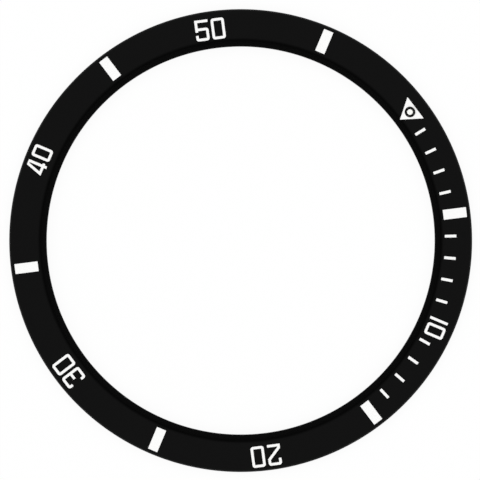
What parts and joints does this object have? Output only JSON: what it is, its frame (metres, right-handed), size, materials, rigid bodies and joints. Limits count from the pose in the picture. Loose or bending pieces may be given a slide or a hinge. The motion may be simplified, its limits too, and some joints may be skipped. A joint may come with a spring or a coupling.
{
  "type": "watch bezel insert",
  "caption": "Black sloped bezel insert for a diver's watch, with white minute bars, ticks, numerals and a zero triangle with a luminous pip.",
  "frame": {"origin": "on the ring's axis, in the plane of its seat face", "axes": "+Z along the ring's axis out of the printed face, +Y from the axis to the zero triangle, minutes run clockwise seen from +Z"},
  "size_m": [0.0375, 0.0374, 0.0013],
  "materials": {
    "black_ring": "satin black anodised",
    "white_enamel": "white enamel, glossy",
    "pip_metal": "blackened turned metal",
    "luminous_paste": "matte luminous compound",
    "pip_glass": "clear polished",
    "adhesive": "double-sided adhesive film under a release paper"
  },
  "bodies": {
    "root": {"insert_ring": "black_ring", "zero_triangle_fill": "white_enamel", "pip_cup": "pip_metal", "pip_lume": "luminous_paste", "pip_lens": "pip_glass", "adhesive_ring": "adhesive", "bar_05_fill": "white_enamel", "bar_15_fill": "white_enamel", "bar_25_fill": "white_enamel", "bar_35_fill": "white_enamel", "bar_45_fill": "white_enamel", "bar_55_fill": "white_enamel", "tick_01_fill": "white_enamel", "tick_02_fill": "white_enamel", "tick_03_fill": "white_enamel", "tick_04_fill": "white_enamel", "tick_06_fill": "white_enamel", "tick_07_fill": "white_enamel", "tick_08_fill": "white_enamel", "tick_09_fill": "white_enamel", "tick_11_fill": "white_enamel", "tick_12_fill": "white_enamel", "tick_13_fill": "white_enamel", "tick_14_fill": "white_enamel", "numeral_10_tens_fill": "white_enamel", "numeral_10_zero_fill": "white_enamel", "numeral_20_tens_fill": "white_enamel", "numeral_20_zero_fill": "white_enamel", "numeral_30_tens_fill": "white_enamel", "numeral_30_zero_fill": "white_enamel", "numeral_40_tens_fill": "white_enamel", "numeral_40_zero_fill": "white_enamel", "numeral_50_tens_fill": "white_enamel", "numeral_50_zero_fill": "white_enamel"}
  },
  "joints": []
}
